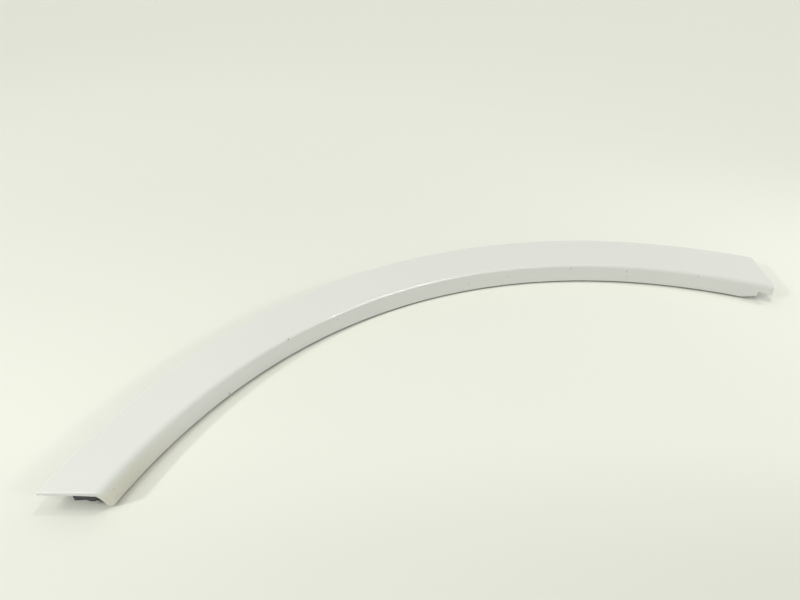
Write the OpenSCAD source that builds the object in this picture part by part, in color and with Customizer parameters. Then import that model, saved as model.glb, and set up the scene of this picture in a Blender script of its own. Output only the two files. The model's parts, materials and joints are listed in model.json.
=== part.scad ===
// Wheel arch trim for the rear wing of a car, lying face up as it rests on a table.
// It is an injection-moulded L section swept round the wheel opening: a flat painted face and a
// lip that turns in towards the wheel. The raw back carries clip towers, gussets and two
// locating dowels, and each tower holds a push-in clip with its sealing ring.
// The wheel's axis is the centre of the lip's arc. Lengths are millimetres, angles are degrees.

/* [Arch] */
// Radius of the lip's wheel side about the wheel's axis
arch_r = 390; // [340:1:440]
// Width that the face would have if its outer edge were concentric with the lip
face_w = 41.2; // [38:0.1:60]
// How far the centre of the outer edge lies from the wheel's axis, towards the door
edge_shift_x = 4.3; // [0:0.1:8]
// How far the centre of the outer edge lies above the wheel's axis
edge_shift_y = 12.5; // [0:0.1:16]
// Height of the bumper cut above the wheel's axis
bumper_cut = 114.2; // [90:0.1:150]
// Distance from the wheel's axis to the line of the door cut
door_cut = 138.4; // [110:0.1:170]
// Lean of the door cut from the upright
door_cut_lean = 5.4; // [0:0.1:10]

/* [Section] */
// Wall thickness of the moulding
wall = 2.5; // [2:0.1:3.5]
// Depth of the lip from the face to its foot
lip_h = 18.4; // [16:0.1:22]
// Radius of the crease between face and lip
crease_r = 3.2; // [2.6:0.1:5]
// Radius that the outer edge rolls over with
roll_r = 2.4; // [1:0.1:2.6]
// Height of the bead along the outer edge
edge_h = 3.4; // [3:0.1:5]
// Thickness of that bead
edge_t = 2.2; // [1.5:0.1:4]
// How far the lip's foot draws back from the bumper cut
bumper_cut_draw = 4.3; // [0:0.1:6]

/* [Door end of the lip] */
// Distance from the door cut at which the foot begins to rise
foot_rise_l = 23; // [16:0.5:34]
// How far the foot has risen where the notch begins
foot_rise_h = 4; // [1:0.1:6]
// Distance from the door cut to the far side of the notch
notch_end = 11.5; // [9:0.1:16]
// Height of the notch's roof above the foot
notch_h = 10; // [8.5:0.1:12]
// Width of the corner tab
tab_w = 4.6; // [3:0.1:7]
// Height of the corner tab's end above the foot
tab_h = 8; // [6:0.1:8.4]

/* [Clip towers] */
// Number of clips
clip_count = 5; // [3:1:7]
// Distance of the clips from the lip's wheel side
clip_inset = 14.5; // [13:0.1:17]
// Height of a tower under the face
tower_h = 8; // [7:0.1:11]
// Length of a tower along the arch
tower_l = 18; // [17:0.1:24]
// How far a tower reaches past its clip towards the outer edge
tower_reach = 9; // [8.5:0.1:11]
// Thickness of a tower's walls
tower_wall = 1.6; // [1.2:0.1:2.2]
// Thickness of a tower's floor, which the clip grips
tower_floor = 1.6; // [1.2:0.1:2.2]
// Set-back of the first tower from the bumper cut
bumper_setback = 2.5; // [2:0.1:12]
// Set-back of the last tower from the door cut
door_setback = 26; // [24:0.5:40]

/* [Gussets] */
// Number of gussets between two neighbouring towers
gussets_per_bay = 3; // [1:1:5]
// Space beside a tower, in spacings between two gussets
gusset_lead = 0.75; // [0.6:0.05:1.5]
// Thickness of a gusset
gusset_t = 1.3; // [1:0.1:2]
// How far a gusset runs out along the face, from the lip
gusset_w = 11; // [6:0.5:16]
// How far a gusset runs down the lip, from the face
gusset_h = 9; // [5:0.5:12]

/* [Dowels] */
// Diameter of a locating dowel
dowel_d = 6; // [4:0.1:7]
// Length of a dowel below its collar
dowel_l = 5.2; // [4:0.1:5.8]
// Chamfer round a dowel's tip
dowel_chamfer = 0.8; // [0.4:0.1:1.2]
// Diameter of a dowel's collar
collar_d = 10; // [8.5:0.1:12]
// Gap from a dowel's collar to the wing's panel
collar_gap = 0.3; // [0.1:0.1:1]

/* [Clips] */
// Diameter of a clip's head
head_d = 12.6; // [11:0.1:13.4]
// Thickness of a clip's head
head_t = 1.8; // [1.2:0.1:2.6]
// Diameter of a clip's neck, between head and flange
neck_d = 6.4; // [5:0.1:7.5]
// Diameter of a clip's flange
flange_d = 16; // [14:0.1:18]
// Thickness of a clip's flange
flange_t = 1.4; // [1:0.1:2.2]
// Diameter of a clip's shank, which fills the hole in the panel
shank_d = 7; // [6:0.1:8]
// Length of a clip's nose, from the panel's outer side to the tip
nose_l = 6.1; // [5.5:0.1:10]
// Width over a clip's wings
wing_w = 9.8; // [9:0.1:11]
// Height of the ramp from a wing's widest place up to the panel
wing_ramp_h = 0.7; // [0.4:0.1:1.2]
// How far a wing's waist lies inside the shank
waist_inset = 0.2; // [0:0.1:0.4]
// Width of a clip's tip
tip_w = 3.6; // [3.2:0.1:4.5]
// Thickness of a wing
wing_t = 2.6; // [2:0.1:4]
// Thickness of a spring leg in a wing
leg_t = 1.1; // [0.8:0.1:1.3]
// Width of the spine between the legs
spine_w = 1.6; // [1.2:0.1:2]
// Thickness that the slits beside the spine leave at their lower end
slit_low = 1; // [0.6:0.1:1.6]
// Thickness that the slits leave at their upper end
slit_top = 0.8; // [0.6:0.1:1.2]
// Thickness of the wing panel that a clip grips
panel_t = 0.8; // [0.7:0.1:1.5]
// Thickness of a sealing ring
seal_t = 2; // [1.5:0.1:3]
// Outer diameter of a sealing ring
seal_d = 14; // [12:0.1:15.5]

/* [Clearances] */
// Clearance round a clip's neck in its slot
slot_clear = 0.25; // [0.1:0.05:0.6]
// Clearance between a clip's head and the tower's floor
head_clear = 0.1; // [0.05:0.05:0.4]
// Clearance between a sealing ring and the shank
seal_clear = 0.1; // [0.05:0.05:0.4]

/* [Hidden] */
$fn = 96;
arc_fn = 360;
big = 2 * arch_r;
// How deep what stands on the back runs into the walls
merge = wall / 4;

// Heights: what hangs under the face sets how high it lies, unless the lip is deeper still
stack_h = wall + tower_h + flange_t + seal_t + nose_l;
face_z = max(stack_h, lip_h);
foot_z = face_z - lip_h;
back_z = face_z - wall;
tower_z = back_z - tower_h;
flange_z = tower_z - flange_t;
panel_z = flange_z - seal_t;
tip_z = panel_z - nose_l;

// Plan: where the cuts meet the outer edge, and so where the wheel's axis lies
edge_r = arch_r + face_w;
door_n = [cos(door_cut_lean), -sin(door_cut_lean)];
door_d = [sin(door_cut_lean), cos(door_cut_lean)];
edge_c = [edge_shift_x, edge_shift_y];
door_gap = door_cut - edge_c * door_n;
door_corner = edge_c + door_gap * door_n + sqrt(edge_r * edge_r - door_gap * door_gap) * door_d;
bumper_rise = bumper_cut - edge_shift_y;
bumper_corner = [edge_shift_x - sqrt(edge_r * edge_r - bumper_rise * bumper_rise), bumper_cut];
axis_x = -(bumper_corner[0] + door_corner[0]) / 2;
axis_y = -(bumper_cut + edge_shift_y + edge_r) / 2;

// Clips: the end ones stand square to their cuts, the others are spread evenly between them
clip_r = arch_r + clip_inset;
first_y = bumper_cut + bumper_setback + tower_l / 2;
first_angle = 180 - asin(first_y / clip_r);
last_c = door_cut - door_setback - tower_l / 2;
last_angle = acos(last_c / clip_r) - door_cut_lean;
function clip_angle(i) = first_angle + (last_angle - first_angle) * i / (clip_count - 1);
function tower_turn(i) = i == 0 ? 180 : i == clip_count - 1 ? 90 - door_cut_lean : clip_angle(i);
function clip_at(i) = clip_r * [cos(clip_angle(i)), sin(clip_angle(i))];
bay = (last_angle - first_angle) / (clip_count - 1);
gusset_pitch = bay / (gussets_per_bay - 1 + 2 * gusset_lead);
dowel_angles = [clip_angle(0) + bay / 2, clip_angle(clip_count - 2) + bay / 2];

// Puts what is drawn about the wheel's axis where the trim lies
module placed() {
    translate([axis_x, axis_y, 0]) children();
}

// Revolves a profile of radius and height about the wheel's axis
module about_wheel() {
    rotate_extrude($fn = arc_fn) children();
}

// Revolves a profile about the outer edge's own centre
module about_edge() {
    translate([edge_shift_x, edge_shift_y, 0]) rotate_extrude($fn = arc_fn) children();
}

// Everything outside a radius and below a height, with that corner rounded
module outside_of(r, top, corner) {
    difference() {
        translate([r, -big]) square([big, big + top]);
        translate([r, top - corner]) difference() {
            square(corner);
            translate([corner, 0]) circle(corner);
        }
    }
}

// Everything inside a radius and below a height, with that corner rounded
module inside_of(r, top, corner) {
    difference() {
        translate([0, -big]) square([r, big + top]);
        translate([r - corner, top - corner]) difference() {
            square(corner);
            circle(corner);
        }
    }
}

// The block that lip, face and both cuts bound
module block() {
    intersection() {
        about_wheel() outside_of(arch_r, face_z, crease_r);
        about_edge() inside_of(edge_r, face_z, roll_r);
        bumper_side();
        door_side();
    }
}

// What lies on the trim's side of the bumper cut, which leans by the draw of the lip's foot
module bumper_side() {
    rotate([90, 0, -90]) translate([0, 0, -big]) linear_extrude(2 * big)
        polygon([[-bumper_cut, face_z], [-big, face_z], [-big, foot_z], [-bumper_cut - bumper_cut_draw, foot_z]]);
}

// What lies on the trim's side of the door cut
module door_side() {
    rotate(-door_cut_lean) translate([door_cut - 2 * big, -big, foot_z]) cube([2 * big, 2 * big, lip_h]);
}

// The hollow behind the face and the lip
module hollow() {
    intersection() {
        about_wheel() translate([arch_r + wall, -big]) square([big, big + back_z]);
        about_edge() union() {
            translate([0, -big]) square([edge_r - edge_t, big + back_z]);
            translate([0, -big]) square([edge_r + edge_t, big + face_z - edge_h]);
        }
    }
}

// Takes the lower corner off the lip at the door: a rising foot, then a notch beside the tab
module door_notch() {
    rotate(-door_cut_lean) rotate([90, 0, 0]) translate([door_cut, foot_z, -big]) linear_extrude(big)
        polygon([
            [1, -1], [1, tab_h], [-tab_w, tab_h], [-tab_w, notch_h], [-notch_end, notch_h],
            [-notch_end, foot_rise_h], [-foot_rise_l, 0], [-foot_rise_l, -1]
        ]);
}

// A clip tower: two walls from the lip outwards, and a floor with a slot that is open outwards
module tower() {
    reach_in = clip_inset + wall;
    slot_w = neck_d + 2 * slot_clear;
    length = reach_in + tower_reach;
    for (side = [-1, 1])
        translate([-reach_in, side * (tower_l - tower_wall) / 2 - tower_wall / 2, tower_z])
            cube([length, tower_wall, tower_h + merge]);
    difference() {
        translate([-reach_in, -tower_l / 2, tower_z]) cube([length, tower_l, tower_floor]);
        translate([0, 0, tower_z - 1]) cylinder(d = slot_w, h = tower_floor + 2);
        translate([0, -slot_w / 2, tower_z - 1]) cube([tower_reach + 1, slot_w, tower_floor + 2]);
    }
}

// A triangular rib in the corner between lip and face, whose slope runs on into both walls
module gusset() {
    slope = gusset_w / gusset_h;
    rotate([90, 0, 0]) translate([0, 0, -gusset_t / 2]) linear_extrude(gusset_t)
        polygon([
            [-wall, back_z + merge], [gusset_w + slope * merge, back_z + merge],
            [-wall, back_z - gusset_h - wall / slope]
        ]);
}

// A locating dowel with the collar that it stands on
module dowel() {
    collar_z = panel_z + collar_gap;
    end_z = collar_z - dowel_l;
    translate([0, 0, collar_z]) cylinder(d = collar_d, h = back_z + merge - collar_z);
    translate([0, 0, end_z + dowel_chamfer]) cylinder(d = dowel_d, h = dowel_l - dowel_chamfer + merge);
    translate([0, 0, end_z])
        cylinder(d1 = dowel_d - 2 * dowel_chamfer, d2 = dowel_d, h = dowel_chamfer);
}

// Everything that stands on the moulding's back
module back_features() {
    difference() {
        union() {
            for (i = [0 : clip_count - 1])
                translate(clip_at(i)) rotate(tower_turn(i)) tower();
            for (i = [0 : clip_count - 2], k = [1 : gussets_per_bay])
                rotate(clip_angle(i) + gusset_pitch * (k - 1 + gusset_lead))
                    translate([arch_r + wall, 0, 0]) gusset();
        }
        translate([0, 0, -1]) cylinder(r = arch_r + wall - merge, h = face_z + 2, $fn = arc_fn);
    }
    for (a = dowel_angles)
        rotate(a) translate([clip_r, 0, 0]) dowel();
}

// The one-piece moulding
module moulding() {
    color("whitesmoke") placed() {
        difference() {
            block();
            hollow();
            door_notch();
        }
        back_features();
    }
}

// One wing of a clip's anchor, with the slits that free its two spring legs
module wing_outline() {
    grip_h = nose_l - panel_t;
    widest_h = grip_h - wing_ramp_h;
    waist = shank_d / 2 - waist_inset;
    slope = (wing_w - tip_w) / 2 / widest_h;
    slit_end = grip_h - slit_top;
    inner_low = tip_w / 2 + slope * slit_low - leg_t;
    inner_top = wing_w / 2 - slope * max(0, widest_h - slit_end) - leg_t;
    difference() {
        polygon([
            [-tip_w / 2, 0], [tip_w / 2, 0], [wing_w / 2, widest_h], [waist, grip_h],
            [waist, nose_l], [-waist, nose_l], [-waist, grip_h], [-wing_w / 2, widest_h]
        ]);
        for (side = [-1, 1])
            polygon([
                [side * spine_w / 2, slit_low], [side * inner_low, slit_low],
                [side * inner_top, slit_end], [side * spine_w / 2, slit_end]
            ]);
    }
}

// A push-in clip, drawn with its axis upright
module clip() {
    grip_t = tower_floor + head_clear;
    translate([0, 0, tower_z + grip_t]) cylinder(d = head_d, h = head_t);
    translate([0, 0, tower_z - flange_t / 2]) cylinder(d = neck_d, h = grip_t + flange_t / 2 + head_t / 2);
    translate([0, 0, flange_z]) cylinder(d = flange_d, h = flange_t);
    translate([0, 0, panel_z - panel_t]) cylinder(d = shank_d, h = seal_t + panel_t + flange_t / 2);
    for (turn = [0, 90])
        rotate(turn) rotate([90, 0, 0]) translate([0, tip_z, -wing_t / 2])
            linear_extrude(wing_t) wing_outline();
}

// A soft ring that keeps water out of the panel's hole
module seal() {
    difference() {
        translate([0, 0, panel_z]) cylinder(d = seal_d, h = seal_t);
        translate([0, 0, panel_z - 1]) cylinder(d = shank_d + 2 * seal_clear, h = seal_t + 2);
    }
}

// Stands a clip or a ring in its tower
module at_tower(i) {
    placed() translate(clip_at(i)) rotate(tower_turn(i)) children();
}

module clip_1() { color("dimgray") at_tower(0) clip(); }
module clip_2() { color("dimgray") at_tower(1) clip(); }
module clip_3() { color("dimgray") at_tower(2) clip(); }
module clip_4() { color("dimgray") at_tower(3) clip(); }
module clip_5() { color("dimgray") at_tower(4) clip(); }
module seal_1() { color("darkslategray") at_tower(0) seal(); }
module seal_2() { color("darkslategray") at_tower(1) seal(); }
module seal_3() { color("darkslategray") at_tower(2) seal(); }
module seal_4() { color("darkslategray") at_tower(3) seal(); }
module seal_5() { color("darkslategray") at_tower(4) seal(); }

moulding();
clip_1();
clip_2();
clip_3();
clip_4();
clip_5();
seal_1();
seal_2();
seal_3();
seal_4();
seal_5();
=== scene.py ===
"""A white wheel arch trim that lies face up on a pale surface.

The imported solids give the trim's size and place. This script makes the painted moulding again as a
fine mesh, with the changing crease and rounded cut edges that catch the light, dresses the clips
and their sealing rings, and adds the surface, the lamps and the camera.
"""

import json
import logging
import math
from collections.abc import Callable
from dataclasses import dataclass, field, fields
from enum import Enum

import bmesh
import bpy
import numpy as np
from mathutils import Matrix, Vector

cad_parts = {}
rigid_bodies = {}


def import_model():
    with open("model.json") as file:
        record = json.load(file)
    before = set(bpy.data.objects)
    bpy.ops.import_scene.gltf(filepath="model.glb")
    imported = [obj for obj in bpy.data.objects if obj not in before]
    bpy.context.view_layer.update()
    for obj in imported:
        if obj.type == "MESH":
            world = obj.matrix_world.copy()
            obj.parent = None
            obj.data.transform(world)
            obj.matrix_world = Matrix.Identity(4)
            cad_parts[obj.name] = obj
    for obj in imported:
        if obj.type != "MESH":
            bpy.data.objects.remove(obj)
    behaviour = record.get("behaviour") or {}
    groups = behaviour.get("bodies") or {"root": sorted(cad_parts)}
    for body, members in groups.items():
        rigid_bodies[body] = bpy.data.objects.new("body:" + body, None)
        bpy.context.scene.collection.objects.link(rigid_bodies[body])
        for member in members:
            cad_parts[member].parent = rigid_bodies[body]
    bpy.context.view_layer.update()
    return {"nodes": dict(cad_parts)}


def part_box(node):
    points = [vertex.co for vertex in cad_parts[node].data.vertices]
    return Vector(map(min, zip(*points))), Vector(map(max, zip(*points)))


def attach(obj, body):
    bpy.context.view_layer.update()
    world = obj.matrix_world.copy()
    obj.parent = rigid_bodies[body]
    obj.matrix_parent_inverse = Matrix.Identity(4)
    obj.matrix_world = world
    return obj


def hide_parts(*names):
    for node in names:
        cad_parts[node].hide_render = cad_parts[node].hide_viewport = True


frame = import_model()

MM = 0.001
QUARTER_TURN = math.pi / 2
TINY = 1e-9
ROOT_BODY = "root"
log = logging.getLogger("wheel_arch_trim")

Array = np.ndarray
Values = float | Array
AngleRule = Callable[[Values, Values], Values]
Colour = tuple[float, float, float, float]
Place = tuple[float, float, float]
Span = tuple[float, float]
Solid = bmesh.types.BMesh
Material = bpy.types.Material
Node = bpy.types.Node
Socket = bpy.types.NodeSocket
Tree = bpy.types.NodeTree


class Coating(Enum):
    """How much of the white paint reaches a place on the moulding."""

    PAINTED = 1.0
    MIST = 0.45
    RAW = 0.0


def smooth_step(low: float, high: float, value: Values) -> Values:
    """Look values up on a smooth rise from 0 at low to 1 at high."""
    share = np.clip((value - low) / (high - low), 0.0, 1.0)
    return share * share * (3.0 - 2.0 * share)


def later(first: float, last: float, count: int) -> Array:
    """Space values evenly and leave out the first, where the stretch before them ends."""
    return np.linspace(first, last, count)[1:]


def bend(first: float, last: float, count: int) -> list[Span]:
    """List how far the sine and the cosine of evenly spaced angles lie below 1."""
    return [(1 - math.sin(a), 1 - math.cos(a)) for a in np.linspace(first, last, count)]


def put_in_scene(name: str, data: bpy.types.ID) -> bpy.types.Object:
    """Make an object and link it to the scene.

    Args:
        name: The object's name.
        data: Its mesh, lamp or camera.

    Returns:
        The object.
    """
    made = bpy.data.objects.new(name, data)
    bpy.context.scene.collection.objects.link(made)
    return made


@dataclass
class ArchPlan:
    """The trim's plan about the wheel's axis."""

    lip_radius: float = 390.0 * MM
    face_width: float = 41.2 * MM
    edge_shift_x: float = 4.3 * MM
    edge_shift_y: float = 12.5 * MM
    bumper_cut: float = 114.2 * MM
    bumper_cut_draw: float = 4.3 * MM
    door_cut: float = 138.4 * MM
    door_lean: float = math.radians(5.4)

    @property
    def edge_radius(self) -> float:
        """Radius of the outer edge about its own centre."""
        return self.lip_radius + self.face_width

    def edge_at(self, angle: Array) -> Array:
        """Find how far the outer edge lies from the wheel's axis.

        Args:
            angle: Angles about the wheel's axis.

        Returns:
            The outer edge's distance from the wheel's axis at each angle.
        """
        along = self.edge_shift_x * np.cos(angle) + self.edge_shift_y * np.sin(angle)
        across = self.edge_shift_x * np.sin(angle) - self.edge_shift_y * np.cos(angle)
        return along + np.sqrt(self.edge_radius**2 - across**2)

    def near_bumper(self, radius: Values, depth: Values, distance: float) -> Values:
        """Find the angle of a point a set distance from the bumper cut, at a share down the lip."""
        height = self.bumper_cut + self.bumper_cut_draw * depth + distance
        return math.pi - np.arcsin(height / radius)

    def near_door(self, radius: Values, distance: float) -> Values:
        """Find the angle of a point a set distance from the door cut."""
        return np.arccos((self.door_cut - distance) / radius) - self.door_lean

    def door_corner_x(self) -> float:
        """Find the outer door corner's distance from the wheel's axis along X.

        Returns:
            The distance.
        """
        normal = (math.cos(self.door_lean), -math.sin(self.door_lean))
        gap = self.door_cut - self.edge_shift_x * normal[0] - self.edge_shift_y * normal[1]
        reach = math.sqrt(self.edge_radius**2 - gap**2)
        return self.edge_shift_x + gap * normal[0] + reach * math.sin(self.door_lean)

    def axis_from(self, low: Vector, high: Vector) -> Vector:
        """Find the wheel's axis, at the surface's height, from the moulding's box."""
        return Vector((high.x - self.door_corner_x(), low.y - self.bumper_cut, 0.0))


@dataclass
class Outline:
    """The section's outline or a stretch of it, one value for each point.

    Across the face a point lies at offset + crease * crease radius + width * face width. In height
    it lies drop below a share of the way up from the foot to the top, and the top lies crease_drop
    * crease radius below the face. cut_radius rounds a cut's edge, and bead is the point's share of
    the bead behind the bumper cut.
    """

    offset: Array
    crease: Array
    width: Array
    share_up: Array
    drop: Array
    crease_drop: Array
    coating: Array
    cut_radius: Array
    bead: Array

    @classmethod
    def joined(cls, parts: list["Outline"]) -> "Outline":
        """Join stretches to one outline."""
        return cls(*(np.concatenate([getattr(p, f.name) for p in parts]) for f in fields(cls)))


@dataclass
class TrimSection:
    """The moulding's L section."""

    wall: float = 2.5 * MM
    lip_depth: float = 18.4 * MM
    crease_mid: float = 1.9 * MM
    crease_bumper: float = 5.4 * MM
    crease_door: float = 4.6 * MM
    softer_to_bumper: Span = (126.0, 163.0)
    softer_to_door: Span = (-104.0, -66.0)
    roll: float = 2.4 * MM
    edge_height: float = 3.4 * MM
    edge_thickness: float = 2.2 * MM
    edge_corner: float = 0.3 * MM
    foot_corner: float = 0.55 * MM
    painted_cut: float = 1.0 * MM
    raw_cut: float = 0.35 * MM
    inner_corner_min: float = 0.5 * MM
    spray_reach: float = 2.0 * MM
    spray_full: float = 0.3
    end_bead: float = 1.3 * MM
    end_bead_width: float = 2.2 * MM
    end_bead_fade: Span = (0.75, 1.25)
    corner_bead: float = 1.0
    corner_bead_reach: float = 0.4
    foot_points: int = 5
    lip_points: int = 12
    crease_points: int = 17
    face_points: int = 22
    roll_points: int = 12
    edge_points: int = 4
    back_points: int = 14
    turn_points: int = 6
    inside_points: int = 8

    @property
    def inner_corner(self) -> Span:
        """Give the rule for the inner corner's radius, which keeps the wall even.

        Returns:
            The radius's slope over the crease's radius, and its base.
        """
        largest = self.crease_bumper - self.wall
        slope = (largest - self.inner_corner_min) / (self.crease_bumper - self.crease_mid)
        return slope, self.inner_corner_min - slope * self.crease_mid

    def crease_at(self, angle: float) -> float:
        """Find the crease's radius, which is tight over the crown and soft towards both ends.

        Args:
            angle: Angle about the wheel's axis.

        Returns:
            The crease's radius.
        """
        degrees = math.degrees(angle)
        to_bumper = smooth_step(*self.softer_to_bumper, degrees)
        to_door = smooth_step(*self.softer_to_door, -degrees)
        soft = to_bumper * (self.crease_bumper - self.crease_mid)
        return float(self.crease_mid + soft + to_door * (self.crease_door - self.crease_mid))

    def sprayed_at(self, distance: float | None) -> float:
        """Find how far the paint covers the whole section near a cut.

        Args:
            distance: Distance from the nearer cut, or None away from both.

        Returns:
            The share that is covered.
        """
        if distance is None:
            return 0.0
        full = self.spray_full * self.spray_reach
        return 1.0 - float(smooth_step(full, self.spray_reach, distance))

    def bead_at(self, distance: float) -> float:
        """Return how far the wall's back is thickened at a distance from the bumper cut."""
        low, high = (share * self.end_bead_width for share in self.end_bead_fade)
        return self.end_bead * (1.0 - float(smooth_step(low, high, distance)))

    @staticmethod
    def _stretch(
        points: list[tuple[float, ...]],
        first: Coating,
        last: Coating,
        cut_radius: float,
        bead: Values = 0.0,
    ) -> Outline:
        """Make a stretch of the outline.

        Args:
            points: Each point's offset, crease, width, share up, drop and crease drop.
            first: The coating of the first point.
            last: The coating of the last point.
            cut_radius: Radius that the cut's edge is rounded with along this stretch.
            bead: How much of the bead behind the bumper cut this stretch takes.

        Returns:
            The stretch.
        """
        count = len(points)
        coating = np.linspace(first.value, last.value, count)
        table = np.array(points, float).T
        return Outline(*table, coating, np.full(count, cut_radius), np.ones(count) * bead)

    def outline(self) -> Outline:
        """Lay the outline round the section, from the lip's foot over the face and back.

        Returns:
            The outline.
        """
        corner, roll, small = self.foot_corner, self.roll, self.edge_corner
        wall, thin, rim = self.wall, self.edge_thickness, self.edge_height
        slope, base = self.inner_corner
        quarter = bend(0.0, QUARTER_TURN, self.foot_points)
        foot = [(corner * s, 0, 0, 0, -corner * c, 0) for s, c in quarter]
        lip = [(0, 0, 0, t, -corner * (1 - t), 1) for t in later(0.0, 1.0, self.lip_points)]
        crease = [(0, c, 0, 1, 0, s) for s, c in bend(0.0, QUARTER_TURN, self.crease_points)[1:]]
        face = [(-roll * t, 1 - t, t, 1, 0, 0) for t in later(0.0, 1.0, self.face_points)]
        over = [
            (-roll * s, 0, 1, 1, roll * c, 0)
            for s, c in bend(0.0, QUARTER_TURN, self.roll_points)[1:]
        ]
        edge = [
            (-small * c, 0, 1, 1, rim - small * s, 0)
            for s, c in bend(0.0, QUARTER_TURN, self.edge_points)
        ]
        inner = [
            (small - thin, 0, 1, 1, rim, 0),
            (-thin, 0, 1, 1, rim - small, 0),
            (-thin, 0, 1, 1, wall, 0),
        ]
        inwards = later(1.0, 0.0, self.back_points)
        back = [
            ((wall + base) * (1 - t) - thin * t, slope * (1 - t), t, 1, wall, 0) for t in inwards
        ]
        turn = [
            (wall + base * c, slope * c, 0, 1, wall + base * s, slope * s)
            for s, c in bend(QUARTER_TURN, 0.0, self.turn_points)[1:]
        ]
        down = later(1.0, 0.0, self.inside_points)
        inside = [(wall, 0, 0, t, (wall + base) * t - corner * (1 - t), slope) for t in down]
        under = [(wall - corner * c, 0, 0, 0, -corner * s, 0) for s, c in quarter[1:]]
        near_corner = self.corner_bead * np.clip(1 - inwards / self.corner_bead_reach, 0, 1)
        below_corner = self.corner_bead * np.clip(2 * down - 1, 0, 1)
        raw, mist, full = Coating.RAW, Coating.MIST, Coating.PAINTED
        whole = [self._stretch(foot, mist, full, self.raw_cut)]
        whole += [
            self._stretch(part, full, full, self.painted_cut) for part in (lip, crease, face, over)
        ]
        whole += [
            self._stretch(edge, full, mist, self.raw_cut),
            self._stretch(inner, mist, raw, self.raw_cut),
            self._stretch(back, raw, raw, self.raw_cut, 1.0 + near_corner),
            self._stretch(turn, raw, raw, self.raw_cut, 1.0 + self.corner_bead),
            self._stretch(inside, raw, mist, self.raw_cut, 1.0 + below_corner),
            self._stretch(under, mist, mist, self.raw_cut),
        ]
        return Outline.joined(whole)


@dataclass
class DoorEnd:
    """The lip's foot near the door cut: it rises, then a notch sets off a small corner tab."""

    rise_length: float = 23.0 * MM
    rise_height: float = 4.0 * MM
    notch_end: float = 11.5 * MM
    notch_height: float = 9.0 * MM
    tab_width: float = 4.6 * MM
    tab_height: float = 8.3 * MM
    step_blend: float = 0.5 * MM
    step_rings: tuple[float, ...] = (-0.7, -0.5, -0.3, -0.1, 0.1, 0.3, 0.5, 0.7)
    rings_mm: tuple[float, ...] = (
        30.0, 28.0, 26.0, 24.5, 23.0, 21.5, 20.0, 18.0, 16.0,
        14.0, 12.5, 10.4, 8.8, 7.2, 5.8, 3.6, 2.6, 1.7,
    )

    def _within(self, step: float, distance: float) -> float:
        """Return 1 on the door's side of a step and 0 beyond it, blended over the step."""
        half = self.step_blend / 2
        return 1.0 - float(smooth_step(step - half, step + half, distance))

    def foot_lift(self, distance: float) -> float:
        """Find how far the foot is lifted.

        Args:
            distance: Distance from the door cut.

        Returns:
            The lift.
        """
        if distance >= self.rise_length:
            return 0.0
        span = self.rise_length - self.notch_end
        slope = self.rise_height * min(1.0, (self.rise_length - distance) / span)
        lifted = slope + self._within(self.notch_end, distance) * (self.notch_height - slope)
        return lifted + self._within(self.tab_width, distance) * (self.tab_height - lifted)

    def distances(self) -> list[float]:
        """List the distances from the door cut that need a ring, longest first."""
        near_steps = [
            step + share * self.step_blend
            for step in (self.notch_end, self.tab_width)
            for share in self.step_rings
        ]
        return sorted([value * MM for value in self.rings_mm] + near_steps, reverse=True)


@dataclass
class Ring:
    """One ring of the moulding's skin: the section where it crosses the arch."""

    angle: Array
    across: Array
    height: Array
    coating: Array


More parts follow.
